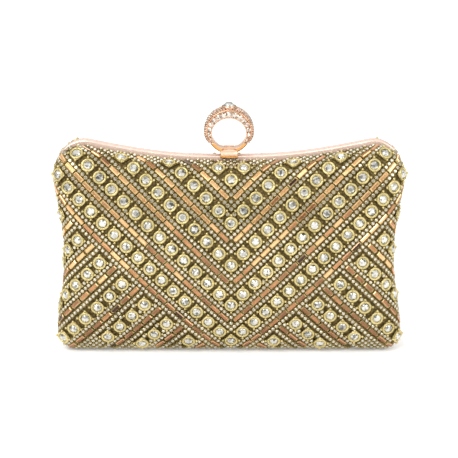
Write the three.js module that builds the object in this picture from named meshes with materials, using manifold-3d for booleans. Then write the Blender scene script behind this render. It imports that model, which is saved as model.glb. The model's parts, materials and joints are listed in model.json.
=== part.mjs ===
// Hard-case evening clutch. Two pressed half shells, each covered in rhinestone trim and lined with
// satin, close on a pair of rose-gold frames. The frames are hinged along the base, and a sprung lever
// on the back frame, which carries a finger ring, shuts over a catch plate on the front frame.
// Units are millimetres: X runs to the right, Y to the back, Z up. The origin is under the middle of the base.
import * as THREE from "three";
import { mergeVertices } from "three/addons/utils/BufferGeometryUtils.js";
import Module from "manifold-3d";

const wasm = await Module();
wasm.setup();

// ---------------------------------------------------------------- driving dimensions

// Outline of the covered body, seen from the front.
const HALF_WIDTH = 99.4; // at the corners
const WAIST = 4.8; // how far the sides dip in at half height
const WAIST_Z = 59;
const CROWN_Z = 112.2; // top edge at the middle
const CORNER_Z = 105; // centre of the top corners' arcs
const CORNER_R = 16.2;
const CORNER_LEAN = THREE.MathUtils.degToRad(12); // slope of the top edge where it leaves a corner
const BASE_R = 11; // radius of the bottom corners
const CENTRE_Z = 57; // the crowned faces swell about this height

// Crowned faces, measured from the parting plane.
const HALF_DEPTH = 28;
const WALL_DEPTH = 10; // the side wall is straight this far, then the face curves over
const CROWN_POWER = { across: 7, up: 2.1 }; // 2 is an ellipse, more is flatter with a tighter edge
const CORNER_SOFTNESS = 0.5; // how far the innermost contours round off into ellipses
const CROWN_STEPS = 5;
const RIM_Y = 3.7; // the shells' rims stop here, against the frame

// Layers of each half, from the outside in, as depths under the outline.
const COVER = { from: 0, thick: 3 };
const SHELL = { from: 3.3, thick: 1.2 };
const LINING = { from: 4.8, thick: 0.8 };
const POCKET = { from: 5.9, thick: 0.7, x: 52, z: [24, 78] };

// Frames.
const PARTING_GAP = 0.15; // from the parting plane to each frame
const FRAME_Y = 3.4;
const FRAME_OUT = { inset: 2, rise: 0.9, foot: 4.3 };
const FRAME_IN = { inset: 6.4, rise: -6, foot: 8 };
const FRAME_BEVEL = 0.6;
const FRAME_TOP = CROWN_Z + FRAME_OUT.rise;

// Shell hinges, under the frames.
const HINGE_Z = 1.6;
const HINGE_X = [-62, 62];
const KNUCKLE_R = 1.4;
const HINGE_LENGTH = 18;
const MID_KNUCKLE = 8;
const PIN_R = 0.6;
const PIN_HOLE_R = 0.9;
const LEAF_Z = [3.4, 4.2];
const WEB_Y = [0.4, 0.7]; // the leaf between its knuckles and flange
const SIDE_GAP = 0.3;

// Rivets.
const RIVET = { shank: 0.6, hole: 0.9, head: 1.2, headHeight: 0.4, length: 3.2 };
const RIVET_Y = 2.2;
const LEAF_RIVET_X = 5.5; // from the middle of the hinge

// Clasp.
const PLATE_X = 5; // half width of the catch plate
const PLATE_Z = [FRAME_TOP + 0.1, FRAME_TOP + 0.8];
const LEVER_Z = [PLATE_Z[1] + 0.6, PLATE_Z[1] + 1.6];
const LEVER_Y = 4.2; // half depth of the lever
const LIP = { x: 4.7, y: [-5.4, -4.6], z: [FRAME_TOP - 0.5, LEVER_Z[0] + 0.2] };
const CLASP_AXIS = { y: 6.1, z: FRAME_TOP + 2.7 };
const CLASP_KNUCKLE_R = 1.4;
const EAR_X = [3.5, 4.9];
const CATCH_RIVET_X = 3.5;
const BRACKET_RIVET_X = 3.3;

// Finger ring. Three circles round the finger: the bore, the front face's outer edge and the crown.
const RING_BORE = { z: 126.3, r: 9.7 };
const RING_EDGE = { z: 126.5, r: 12.8 };
const RING_CROWN = { z: 126.9, r: 14.2 };
const RING_HALF_WIDTH = { top: 5, bottom: 4.2 };
const RING_FOOT_Z = LEVER_Z[1] + 0.05;
const BEZEL = { z: 139.8, foot: 3.4, rim: 4.1, height: 2.2, seat: 0.9, wall: 0.5 };
const STONE = { girdle: 3.3, table: 1.9, crown: 1.8, pavilion: 0.8 };

// Side gussets.
const GUSSET = { outerX: 87.4, topZ: 92, footZ: 12, topInnerX: 68, footInnerX: 85.6, halfY: 2.6 };

// ---------------------------------------------------------------- solids

const signedVolume = (points, index) => {
  let six = 0;
  for (let i = 0; i < index.length; i += 3) {
    const [a, b, c] = [points[index[i]], points[index[i + 1]], points[index[i + 2]]];
    six += a.dot(new THREE.Vector3().crossVectors(b, c));
  }
  return six / 6;
};

// A closed surface through a row of loops with the same number of points. A loop of one point is an apex.
// With ring set, the last loop joins the first, as round a frame.
function loft(loops, ring = false) {
  const points = loops.flat();
  const starts = loops.map((_, i) => loops.slice(0, i).reduce((sum, loop) => sum + loop.length, 0));
  const index = [];
  const joins = ring ? loops.length : loops.length - 1;
  for (let i = 0; i < joins; i += 1) {
    const next = (i + 1) % loops.length;
    const n = Math.max(loops[i].length, loops[next].length);
    const at = (loop, k) => starts[loop] + (k % loops[loop].length);
    for (let k = 0; k < n; k += 1) {
      if (loops[next].length > 1) index.push(at(i, k), at(next, k), at(next, k + 1));
      if (loops[i].length > 1) index.push(at(i, k), at(next, k + 1), at(i, k + 1));
    }
  }
  if (signedVolume(points, index) < 0) index.reverse();
  return new THREE.BufferGeometry().setFromPoints(points).setIndex(index);
}

function solidOf(geometry) {
  const bare = geometry.clone();
  bare.deleteAttribute("normal");
  bare.deleteAttribute("uv");
  const merged = mergeVertices(bare, 1e-4);
  return new wasm.Manifold(
    new wasm.Mesh({
      numProp: 3,
      vertProperties: new Float32Array(merged.attributes.position.array),
      triVerts: new Uint32Array(merged.index.array),
    }),
  );
}

function geometryOf(solid) {
  const mesh = solid.getMesh();
  return new THREE.BufferGeometry()
    .setAttribute("position", new THREE.BufferAttribute(mesh.vertProperties, 3))
    .setIndex(new THREE.BufferAttribute(mesh.triVerts, 1));
}

const join = (...parts) => geometryOf(parts.map(solidOf).reduce((a, b) => a.add(b)));
const cut = (whole, ...tools) =>
  geometryOf(tools.map(solidOf).reduce((a, b) => a.subtract(b), solidOf(whole)));
const common = (a, b) => geometryOf(solidOf(a).intersect(solidOf(b)));

const box = ([x0, x1], [y0, y1], [z0, z1]) =>
  new THREE.BoxGeometry(x1 - x0, y1 - y0, z1 - z0).translate((x0 + x1) / 2, (y0 + y1) / 2, (z0 + z1) / 2);

const rodX = ([x0, x1], y, z, r, sides = 12) =>
  new THREE.CylinderGeometry(r, r, x1 - x0, sides).rotateZ(Math.PI / 2).translate((x0 + x1) / 2, y, z);

const rodZ = (x, y, [z0, z1], r, sides = 8) =>
  new THREE.CylinderGeometry(r, r, z1 - z0, sides).rotateX(Math.PI / 2).translate(x, y, (z0 + z1) / 2);

// A solid of revolution about a vertical axis. The profile is a list of [radius, height].
const turned = (profile, sides = 16) =>
  new THREE.LatheGeometry(profile.map(([r, h]) => new THREE.Vector2(r, h)), sides).rotateX(Math.PI / 2);

// ---------------------------------------------------------------- body outline and layers

// The body's outline as [x, z] points, counter-clockwise from the bottom middle. It shrinks by inset at
// the sides, moves up by rise at the top and starts foot above the ground.
function outline({ inset, rise, foot }) {
  const side = HALF_WIDTH - inset;
  const baseR = BASE_R - Math.min(inset, foot);
  const cornerR = CORNER_R - (inset - rise) / 2;
  const cornerX = side - cornerR;
  const cornerZ = CORNER_Z + CORNER_R + rise - cornerR;
  const lean = Math.PI / 2 + CORNER_LEAN;
  const leave = new THREE.Vector2(cornerX + cornerR * Math.cos(lean), cornerZ + cornerR * Math.sin(lean));
  const run = leave.x * 0.44;
  const waist = side - WAIST;
  const v = (x, z) => new THREE.Vector2(x, z);
  const curves = [
    [new THREE.LineCurve(v(0, foot), v(side - baseR, foot)), 1],
    [new THREE.EllipseCurve(side - baseR, foot + baseR, baseR, baseR, -Math.PI / 2, 0), 3],
    [new THREE.CubicBezierCurve(v(side, foot + baseR), v(side, 26), v(waist, 38), v(waist, WAIST_Z)), 3],
    [new THREE.CubicBezierCurve(v(waist, WAIST_Z), v(waist, 80), v(side, 92), v(side, cornerZ)), 3],
    [new THREE.EllipseCurve(cornerX, cornerZ, cornerR, cornerR, 0, lean), 5],
    [
      new THREE.CubicBezierCurve(
        leave,
        v(leave.x - run * Math.cos(CORNER_LEAN), leave.y - run * Math.sin(CORNER_LEAN)),
        v(leave.x * 0.38, CROWN_Z + rise),
        v(0, CROWN_Z + rise),
      ),
      4,
    ],
  ];
  const right = curves.flatMap(([curve, steps]) => curve.getPoints(steps).slice(0, -1));
  const left = right.slice(1).reverse().map((p) => v(-p.x, p.y));
  return [...right, v(0, CROWN_Z + rise), ...left];
}

const layerOutline = (depth) => outline({ inset: depth, rise: -depth, foot: depth });
const loopAt = (points, y) => points.map((p) => new THREE.Vector3(p.x, y, p.y));

// Loops of a crowned face that lies `depth` under the body's surface, from the rim to the middle.
// The front half is made on the -Y side. Inner loops round off, so that the face has no hips.
function faceLoops(depth) {
  const edge = layerOutline(depth);
  const middle = new THREE.Vector2(0, CENTRE_Z);
  const [a, b] = [HALF_WIDTH - depth, CENTRE_Z - depth];
  const loops = [loopAt(edge, -RIM_Y)];
  for (let i = 0; i < CROWN_STEPS; i += 1) {
    const part = i / CROWN_STEPS;
    const turn = part * (Math.PI / 2);
    const shrink = new THREE.Vector2(
      Math.cos(turn) ** (2 / CROWN_POWER.across),
      Math.cos(turn) ** (2 / CROWN_POWER.up),
    );
    const contour = edge.map((p) => {
      const from = p.clone().sub(middle);
      const angle = Math.atan2(from.y / b, from.x / a);
      const round = new THREE.Vector2(a * Math.cos(angle), b * Math.sin(angle));
      return from.lerp(round, CORNER_SOFTNESS * part * part).multiply(shrink).add(middle);
    });
    loops.push(loopAt(contour, -(WALL_DEPTH + (HALF_DEPTH - depth - WALL_DEPTH) * Math.sin(turn))));
  }
  loops.push([new THREE.Vector3(0, depth - HALF_DEPTH, CENTRE_Z)]);
  return loops;
}

const layer = ({ from, thick }) => loft([...faceLoops(from).reverse(), ...faceLoops(from + thick)]);

// A frame is a closed band on one side of the parting plane, bevelled at its outer front edge.
function frameBand() {
  const outer = outline(FRAME_OUT);
  const bevel = outline({
    inset: FRAME_OUT.inset + FRAME_BEVEL,
    rise: FRAME_OUT.rise - FRAME_BEVEL,
    foot: FRAME_OUT.foot + FRAME_BEVEL,
  });
  const inner = outline(FRAME_IN);
  return loft(
    [
      loopAt(outer, -PARTING_GAP),
      loopAt(outer, -(FRAME_Y - FRAME_BEVEL)),
      loopAt(bevel, -FRAME_Y),
      loopAt(inner, -FRAME_Y),
      loopAt(inner, -PARTING_GAP),
    ],
    true,
  );
}

// Blind holes for the hinge leaves' rivets, drilled up into a frame's bottom edge.
const leafRivetXs = HINGE_X.flatMap((x) => [x - LEAF_RIVET_X, x + LEAF_RIVET_X]);
const frameBottomHoles = (side) =>
  leafRivetXs.map((x) => rodZ(x, side * RIVET_Y, [LEAF_Z[1] - 0.5, LEAF_Z[1] + 2.9], RIVET.hole));
const frameTopHoles = (side, x) =>
  [-x, x].map((at) => rodZ(at, side * RIVET_Y, [FRAME_TOP - 3.2, FRAME_TOP + 1], RIVET.hole));

const frontFrame = () =>
  cut(frameBand(), ...frameBottomHoles(-1), ...frameTopHoles(-1, CATCH_RIVET_X));

const rearFrame = () =>
  cut(
    frameBand().rotateZ(Math.PI),
    ...frameBottomHoles(1),
    ...frameTopHoles(1, BRACKET_RIVET_X),
  );

// A patch pocket on the back lining: a square piece out of the middle of a face.
const pocket = () =>
  common(layer(POCKET).rotateZ(Math.PI), box([-POCKET.x, POCKET.x], [WALL_DEPTH + 2, HALF_DEPTH], POCKET.z));

// ---------------------------------------------------------------- hinges and rivets

// One leaf of a shell hinge: knuckles round the pin, a web, and a flange under the frame.
// side is -1 for the front frame and 1 for the back one.
function hingeLeaf(x, side) {
  const half = HINGE_LENGTH / 2;
  const mid = MID_KNUCKLE / 2;
  const spans = side < 0 ? [[-mid, mid]] : [[-half, -mid - SIDE_GAP], [mid + SIDE_GAP, half]];
  const across = (a, b) => (side < 0 ? [-b, -a] : [a, b]);
  const at = (span) => span.map((v) => v + x);
  const flange = box(at([-half, half]), across(0.5, FRAME_Y), LEAF_Z);
  const knuckles = spans.flatMap((span) => [
    rodX(at(span), 0, HINGE_Z, KNUCKLE_R),
    box(at(span), across(...WEB_Y), [HINGE_Z, LEAF_Z[1]]),
  ]);
  const holes = [-LEAF_RIVET_X, LEAF_RIVET_X].map((dx) =>
    rodZ(x + dx, side * RIVET_Y, [LEAF_Z[0] - 1, LEAF_Z[1] + 1], RIVET.hole),
  );
  const pinHole = rodX(at([-half - 1, half + 1]), 0, HINGE_Z, PIN_HOLE_R);
  return cut(join(flange, ...knuckles), pinHole, ...holes);
}

const hingePin = (x) => rodX([x - HINGE_LENGTH / 2, x + HINGE_LENGTH / 2], 0, HINGE_Z, PIN_R);

// A rivet with its head's seat at height 0 and its shank running up.
const rivet = () =>
  turned([
    [0, -RIVET.headHeight],
    [RIVET.head * 0.7, -RIVET.headHeight],
    [RIVET.head, -RIVET.headHeight * 0.4],
    [RIVET.head, 0],
    [RIVET.shank, 0],
    [RIVET.shank, RIVET.length],
    [0, RIVET.length],
  ], 8);

// ---------------------------------------------------------------- clasp

// The catch plate is riveted on the front frame. Its slot is open at the back, where the lever's nib drops
// in, and its lip covers the front edge of the lever.
function catchPlate() {
  const flange = box([-PLATE_X, PLATE_X], [LIP.y[0], -0.5], PLATE_Z);
  const lip = box([-LIP.x, LIP.x], LIP.y, LIP.z);
  const slot = box([-1.6, 1.6], [-3.2, 0], [PLATE_Z[0] - 1, PLATE_Z[1] + 0.3]);
  return cut(join(flange, lip), slot, ...frameTopHoles(-1, CATCH_RIVET_X));
}

// The clasp's hinge bracket, riveted on the back frame, with an ear at each end of the lever's knuckle.
function claspBracket() {
  const base = box([-EAR_X[1], EAR_X[1]], [0.5, 7.6], PLATE_Z);
  const ear = (side) => {
    const span = side < 0 ? [-EAR_X[1], -EAR_X[0]] : EAR_X;
    const r = CLASP_KNUCKLE_R + 0.1;
    const { y, z } = CLASP_AXIS;
    return [rodX(span, y, z, r), box(span, [y - r, y + r], [PLATE_Z[0], z])];
  };
  const pinHole = rodX([-9, 9], CLASP_AXIS.y, CLASP_AXIS.z, PIN_HOLE_R);
  return cut(join(base, ...ear(-1), ...ear(1)), pinHole, ...frameTopHoles(1, BRACKET_RIVET_X));
}

// The lever under the finger ring. Its ends carry on the ring's round outline.
function claspLever() {
  const { y, z } = CLASP_AXIS;
  const inner = EAR_X[0] - SIDE_GAP;
  const slab = common(
    box([-RING_CROWN.r, RING_CROWN.r], [-LEVER_Y, LEVER_Y], LEVER_Z),
    rodX([-9, 9], 0, 0, RING_CROWN.r, 48).rotateZ(Math.PI / 2).translate(0, 0, RING_CROWN.z),
  );
  const arm = box([-inner, inner], [LEVER_Y - 0.5, y], LEVER_Z);
  const knuckle = rodX([-inner, inner], y, z, CLASP_KNUCKLE_R);
  const nib = box([-1.2, 1.2], [-2.6, -1.2], [PLATE_Z[0] + 0.2, LEVER_Z[0]]);
  return cut(join(slab, arm, knuckle, nib), rodX([-9, 9], y, z, PIN_HOLE_R));
}

const claspPin = () => rodX([-EAR_X[1], EAR_X[1]], CLASP_AXIS.y, CLASP_AXIS.z, PIN_R);

// A bowed strip on the bracket that presses up on the lever behind its nib.
function leafSpring() {
  const [low, high] = [PLATE_Z[1] + 0.05, LEVER_Z[0] - 0.05];
  const strip = 0.15;
  const shape = new THREE.Shape()
    .moveTo(0.8, low)
    .quadraticCurveTo(2, high + (high - low) * 0.4, 3.3, low)
    .lineTo(3.3, low + strip)
    .quadraticCurveTo(2, high + (high - low) * 0.4 + strip, 0.8, low + strip);
  const half = 1.5;
  return new THREE.ExtrudeGeometry(shape, { depth: 2 * half, bevelEnabled: false, curveSegments: 6 })
    .applyMatrix4(new THREE.Matrix4().makeBasis(
      new THREE.Vector3(0, 1, 0),
      new THREE.Vector3(0, 0, 1),
      new THREE.Vector3(1, 0, 0),
    ))
    .translate(-half, 0, 0);
}

// A dome ring: wide and thick at the top, thin where it stands on the lever.
function fingerRing() {
  const steps = 36;
  const across = [-1, -0.72, 0, 0.72, 1];
  const loops = [];
  for (let i = 0; i < steps; i += 1) {
    const turn = (i / steps) * 2 * Math.PI;
    const blend = (1 + Math.cos(turn)) / 2;
    const half = THREE.MathUtils.lerp(RING_HALF_WIDTH.bottom, RING_HALF_WIDTH.top, blend);
    const on = ({ z, r }, y) => new THREE.Vector3(r * Math.sin(turn), y, z + r * Math.cos(turn));
    const outer = across.map((a) =>
      on(RING_EDGE, a * half).lerp(on(RING_CROWN, a * half), Math.sqrt(1 - a * a)),
    );
    loops.push([on(RING_BORE, half), on(RING_BORE, -half), ...outer]);
  }
  const foot = box([-20, 20], [-10, 10], [RING_FOOT_Z - 10, RING_FOOT_Z]);
  const seat = turned([[0, 0], [BEZEL.foot + 0.2, 0], [BEZEL.rim + 0.2, BEZEL.height], [0, BEZEL.height]], 24);
  return cut(loft(loops, true), foot, seat.translate(0, 0, BEZEL.z));
}

// The cup that holds the centre stone.
const centreBezel = () =>
  turned([
    [0, 0],
    [BEZEL.foot, 0],
    [BEZEL.rim, BEZEL.height],
    [BEZEL.rim - BEZEL.wall, BEZEL.height],
    [BEZEL.rim - BEZEL.wall - 0.1, BEZEL.seat],
    [0, BEZEL.seat],
  ], 24);

// A brilliant-cut stone, standing on its flattened point.
const centreStone = () =>
  turned([
    [0, 0],
    [STONE.table * 0.6, 0],
    [STONE.girdle, STONE.pavilion],
    [STONE.girdle, STONE.pavilion + 0.2],
    [STONE.table, STONE.pavilion + STONE.crown],
    [0, STONE.pavilion + STONE.crown],
  ], 16);

// ---------------------------------------------------------------- gussets

// The folded gusset's envelope, between the frames at one side.
function gusset(side) {
  const g = GUSSET;
  const corners = [[g.outerX, g.footZ], [g.outerX, g.topZ], [g.topInnerX, g.topZ], [g.footInnerX, g.footZ]];
  const loop = (y) => corners.map(([x, z]) => new THREE.Vector3(side * x, y, z));
  const middle = (y) => [new THREE.Vector3(side * (g.outerX - 2.5), y, (g.footZ + g.topZ) / 2)];
  return loft([middle(-g.halfY), loop(-g.halfY), loop(g.halfY), middle(g.halfY)]);
}

// ---------------------------------------------------------------- assembly

const finish = (color, roughness, metalness) => new THREE.MeshStandardMaterial({ color, roughness, metalness });
const crystalTrim = finish(0xb9a45a, 0.35, 0.5);
const roseGold = finish(0xe8b48c, 0.25, 0.9);
const goldPlate = finish(0xd9a860, 0.25, 0.9);
const shellBoard = finish(0x2f2a26, 0.6, 0);
const satin = finish(0xcfae8a, 0.55, 0);
const springSteel = finish(0xb8bcc0, 0.3, 1);
const crystal = finish(0xf4f6f8, 0.05, 0);

const clutch = new THREE.Group();

function add(name, geometry, material, position = [0, 0, 0]) {
  const mesh = new THREE.Mesh(geometry, material);
  mesh.name = name;
  mesh.position.set(...position);
  clutch.add(mesh);
  return mesh;
}

for (const [half, turn] of [["front", 0], ["rear", Math.PI]]) {
  add(`${half}_crystal_cover`, layer(COVER).rotateZ(turn), crystalTrim);
  add(`${half}_shell`, layer(SHELL).rotateZ(turn), shellBoard);
  add(`${half}_lining`, layer(LINING).rotateZ(turn), satin);
}
add("front_frame", frontFrame(), roseGold);
add("rear_frame", rearFrame(), roseGold);
add("slip_pocket", pocket(), satin);

for (const x of HINGE_X) {
  const hand = x < 0 ? "left" : "right";
  add(`hinge_pin_${hand}`, hingePin(x), springSteel);
  for (const [half, side] of [["front", -1], ["rear", 1]]) {
    add(`hinge_leaf_${half}_${hand}`, hingeLeaf(x, side), goldPlate);
    [-LEAF_RIVET_X, LEAF_RIVET_X].forEach((dx, i) =>
      add(`hinge_rivet_${half}_${hand}_${i + 1}`, rivet(), goldPlate, [x + dx, side * RIVET_Y, LEAF_Z[0]]),
    );
  }
  add(`gusset_${hand}`, gusset(Math.sign(x)), satin);
}

for (const [name, x, side] of [["catch", CATCH_RIVET_X, -1], ["bracket", BRACKET_RIVET_X, 1]]) {
  [-x, x].forEach((at, i) =>
    add(`${name}_rivet_${i + 1}`, rivet().rotateX(Math.PI), goldPlate, [at, side * RIVET_Y, PLATE_Z[1]]),
  );
}
add("catch_plate", catchPlate(), goldPlate);
add("clasp_bracket", claspBracket(), goldPlate);
add("clasp_pin", claspPin(), springSteel);
add("clasp_leaf_spring", leafSpring(), springSteel);
add("clasp_lever", claspLever(), goldPlate);
add("finger_ring", fingerRing(), roseGold);
add("centre_bezel", centreBezel(), goldPlate, [0, 0, BEZEL.z + 0.1]);
add("centre_stone", centreStone(), crystal, [0, 0, BEZEL.z + 0.1 + BEZEL.seat + 0.1]);

export default clutch;
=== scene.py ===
"""Evening clutch: two crowned halves covered in rhinestone trim, a rose-gold frame and a finger-ring clasp.

The script works in millimetres, and mesh_object() turns them into metres. The front half is made on the -Y
side, and the back half is the same turned by half a turn about Z.
"""

import json
import math
import random

import bmesh
import bpy
import numpy as np
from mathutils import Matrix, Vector
from mathutils.bvhtree import BVHTree

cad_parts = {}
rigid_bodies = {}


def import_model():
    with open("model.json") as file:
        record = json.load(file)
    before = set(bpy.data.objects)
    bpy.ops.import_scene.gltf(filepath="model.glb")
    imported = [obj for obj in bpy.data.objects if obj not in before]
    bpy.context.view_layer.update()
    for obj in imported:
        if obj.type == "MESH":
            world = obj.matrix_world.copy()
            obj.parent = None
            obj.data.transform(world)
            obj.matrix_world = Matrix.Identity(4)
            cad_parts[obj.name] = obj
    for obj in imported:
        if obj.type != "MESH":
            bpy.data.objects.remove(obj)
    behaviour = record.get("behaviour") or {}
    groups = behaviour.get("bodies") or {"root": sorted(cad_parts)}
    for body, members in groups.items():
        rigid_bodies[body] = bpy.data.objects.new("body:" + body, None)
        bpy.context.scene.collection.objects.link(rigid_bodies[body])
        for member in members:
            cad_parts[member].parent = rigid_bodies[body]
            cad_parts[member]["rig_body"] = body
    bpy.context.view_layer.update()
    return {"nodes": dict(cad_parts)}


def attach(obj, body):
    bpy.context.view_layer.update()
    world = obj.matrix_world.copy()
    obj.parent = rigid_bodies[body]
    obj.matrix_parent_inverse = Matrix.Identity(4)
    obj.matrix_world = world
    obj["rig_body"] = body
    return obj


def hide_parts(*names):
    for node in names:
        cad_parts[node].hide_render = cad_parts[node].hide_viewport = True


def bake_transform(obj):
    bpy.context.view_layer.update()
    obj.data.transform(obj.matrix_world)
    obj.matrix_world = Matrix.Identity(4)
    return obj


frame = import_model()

# -------- driving dimensions, in millimetres

# The body, as in the CAD model.
HALF_WIDTH = 99.4
WAIST = 4.8
WAIST_Z = 59.0
CROWN_Z = 112.2
CORNER_Z = 105.0
CORNER_R = 16.2
CORNER_LEAN = math.radians(12)
BASE_R = 11.0
CENTRE_Z = 57.0
HALF_DEPTH = 28.0
WALL_DEPTH = 10.0
CROWN_POWER_ACROSS = 7.0
CROWN_POWER_UP = 2.1
CORNER_SOFTNESS = 0.5
RIM_Y = 3.7
TOP_DRAFT = 1.4  # the trim falls this much along the top, from the frame to where the crown begins

# Layers, as depths under the body's envelope. The stones' tops reach the envelope.
BACKING = (2.1, 2.95)
MOULDING = (3.3, 4.5)
LINING = (4.9, 5.4)
LINING_GATHER = 0.28
GATHER_SEED = 5
POCKET_DEPTH = 6.1
POCKET = (52.0, -31.0, 22.0)  # half width, and its lower and upper edge on the flat map

# Frames.
FRAME_Y = (0.15, 3.4)
FRAME_OUT = (2.0, 0.9, 4.3)  # inset, rise, foot
FRAME_IN = (6.4, -6.0, 8.0)

# The trim's pattern. Rows run at 45 degrees to the base, and meet in a V on the middle line.
BAND = 16.85  # from one V's baguettes to the next V's, across the rows
FIRST_V = -60.8  # where the lowest V's baguettes meet on the middle line, from the face's middle
CROSS_BAND = 17.4  # the same between the crossing rows, which fill the lower corners
FIRST_CROSS = -60.3  # where the first crossing row of baguettes lies along the V's arm
PATTERN_SHIFT = 1.2  # the V sits this far right of the middle
BAGUETTE = (6.2, 2.15)  # length and width
BAGUETTE_PITCH = 7.15
BAGUETTE_START = 5.8  # from the middle line to the first baguette of a V
CROSS_BAGUETTE_PITCH = 7.5
CROSS_BAGUETTE_NEARER = 0.4  # the crossing baguettes start this much nearer to the V
BAGUETTE_ROOM = 0.65  # free width beside a row of baguettes
SMALL_PITCH = 2.6
SMALL_ROW = 2.8
BIG_PITCH = 9.2  # in the lowest V
BIG_PITCH_STEP = 0.2  # more for each V above it
CROSS_BIG_PITCH = 10.1
CROSS_BIG_LOWER = 0.6  # the crossing big stones lie this much off the middle of their row
BIG_ROW = 8.4
BIG_REACH = 4.1  # half the side of a big stone's square claw
SIZES = {"big": (5.3, 2.3), "baguette": (3.7, 1.8), "small": (1.4, 1.75)}  # reach and height
ROW_SQUEEZE = 0.78  # how close stones of the rows may come, as a share of their radii
FILLER_SQUEEZE = 0.97
MAP_REACH = (125, 90)
ROWS_OF = {"v": 9, "cross": 12}
LONGEST_ROW = 64
FILLERS = range(-60, 61)
DARK_SHARE = 0.045  # of the baguettes
COPPER_ABOVE = 0.62  # how far the face looks up where the copper band of the top edge begins
TONE_LEVELS = (0.25, -0.35)  # where peach ends, and where brown begins
COLOUR_SEEDS = {"front": 7, "rear": 11}
# The baguettes' bevels are painted lighter than their tables: a painted highlight.
RIM_HIGHLIGHT = (0.32, 0.21, 0.11)  # how much paler a baguette's bevels are than its table

# Finger ring.
RING_BORE = (125.7, 9.75, 9.1)  # centre height, half width and half height
RING_EDGE = (126.5, 12.8, 12.8)
RING_CROWN = (126.9, 14.2, 14.2)
RING_HALF_TOP = 5.0
RING_HALF_BOTTOM = 4.2
RING_STONES_TO = math.radians(118)  # the stones run this far down each side from the top
RING_TAPER = 1.35  # how much the band thins towards its foot
RING_FOOT = 114.6
BEZEL_Z = 139.35
CROWN_ROWS = (-0.83, -0.5, -0.17, 0.17, 0.5, 0.83)  # rows of crown stones, as shares of the half width
CROWN_PITCH = 1.5
WIRE_TO = math.radians(75)
FACE_STONES = 15
APRON_HALF_WIDTH = 4.7
APRON = [(-1.5, 116.45), (-2.6, 116.45), (-3.8, 116.2), (-4.8, 115.5), (-5.4, 114.6), (-5.6, 113.75)]
LEVER = ((-5.0, 5.0), (-4.2, 4.2), (114.5, 115.5))  # x, y and z, each from low to high
LEVER_ARM_X = 3.2  # half width of the arm, and where it starts
LEVER_ARM_Y = 3.9
CLASP_AXIS = (6.1, 115.8)  # y and z
LIP = (-6.0, -5.0, 112.2, 113.8)  # from front to back, and from bottom to top

# Gussets: folded satin between the halves at each side.
GUSSET_X = 87.3
GUSSET_Z = (12.5, 91.5)
GUSSET_FOLD = (1.8, 19.0)  # how deep the folds go in, at the foot and at the top
GUSSET_HALF_Y = 2.5
SATIN_THICK = 0.25
STRIP = (81.5, 3.3, 8.3, 3.0)  # half length, half width, height, and the pleat's height
STRIP_THICK = 0.3

# Camera, light and floor.
CAMERA_ELEVATION = math.radians(15.5)
CAMERA_DISTANCE = 887.0
CAMERA_LENS = 123.4
CAMERA_TARGET = (0.0, -14.0, 73.2)
FLOOR_GLOW = 0.22  # keeps the contact shadow faint
FLOOR_REACH = 40000
WORLD_LIGHT = 0.86
LIGHTS = {  # place and size in metres, and power in watts
    "key": ((-0.9, -1.3, 1.5), (1.6, 1.2), 28),
    "fill": ((1.3, -1.2, 0.9), (1.0, 1.0), 10),
    "back": ((0.2, 1.5, 1.6), (2.4, 1.2), 10),
}
LIT_POINT = (0, 0, 0.06)

MM = 0.001
ACROSS_UP = math.sqrt(0.5)

# -------- meshes


def put_in_scene(name, data):
    made = bpy.data.objects.new(name, data)
    bpy.context.scene.collection.objects.link(made)
    return made


def facing_out(part):
    """The same closed solid with its faces turned outward."""
    points, faces = part
    at = np.asarray(points, float)
    six = sum(
        np.dot(at[f[0]], np.cross(at[f[i]], at[f[i + 1]])) for f in faces for i in range(1, len(f) - 1)
    )
    return points, faces if six > 0 else [tuple(reversed(f)) for f in faces]


def mesh_object(name, vertices, faces, material, body, smooth=True, replaces=()):
    """A piece made of vertices in millimetres, which rides on a body."""
    mesh = bpy.data.meshes.new(name)
    mesh.from_pydata((np.asarray(vertices) * MM).tolist(), [], faces)
    return finish_piece(name, mesh, material, body, smooth, replaces)


def solid(name, part, material, body, replaces=(), crease=None, smooth=True):
    """A closed piece. crease is the angle in degrees over which an edge stays sharp."""
    points, faces = facing_out(part)
    piece = mesh_object(name, points, faces, material, body, smooth, replaces)
    if crease:
        piece.data.set_sharp_from_angle(angle=math.radians(crease))
    return piece


def bevelled(shape, mesh, width, segments, profile):
    """Round off a bmesh's sharp edges, and put the result into a mesh."""
    sharp = [e for e in shape.edges if len(e.link_faces) == 2 and e.calc_face_angle() > math.radians(40)]
    bmesh.ops.bevel(
        shape, geom=sharp, offset=width * MM, segments=segments, profile=profile,
        affect="EDGES", clamp_overlap=True,
    )
    shape.to_mesh(mesh)
    shape.free()


def softened(node, material, body, width):
    """A CAD node's shape with its edges rounded off."""
    data = frame["nodes"][node].data.copy()
    shape = bmesh.new()
    shape.from_mesh(data)
    bmesh.ops.remove_doubles(shape, verts=shape.verts, dist=1e-6)
    bmesh.ops.dissolve_limit(shape, angle_limit=math.radians(1), verts=shape.verts, edges=shape.edges)
    mesh = bpy.data.meshes.new(node + "_soft")
    bevelled(shape, mesh, width, 2, 0.6)
    piece = finish_piece(node + "_soft", mesh, material, body, True, [node])
    mesh.set_sharp_from_angle(angle=math.radians(50))
    return piece


def rounded(piece, width):
    """Round off the edges of a piece made of flat faces."""
    shape = bmesh.new()
    shape.from_mesh(piece.data)
    bevelled(shape, piece.data, width, 3, 0.5)
    piece.data.set_sharp_from_angle(angle=math.radians(50))


def finish_piece(name, mesh, material, body, smooth, replaces):
    mesh.update()
    mesh.validate()
    if smooth:
        mesh.shade_smooth()
    else:
        mesh.shade_flat()
    piece = put_in_scene(name, mesh)
    for one in material if isinstance(material, (list, tuple)) else [material]:
        mesh.materials.append(one)
    if body:
        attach(piece, body)
    if replaces:
        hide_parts(*replaces)
    return piece


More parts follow.
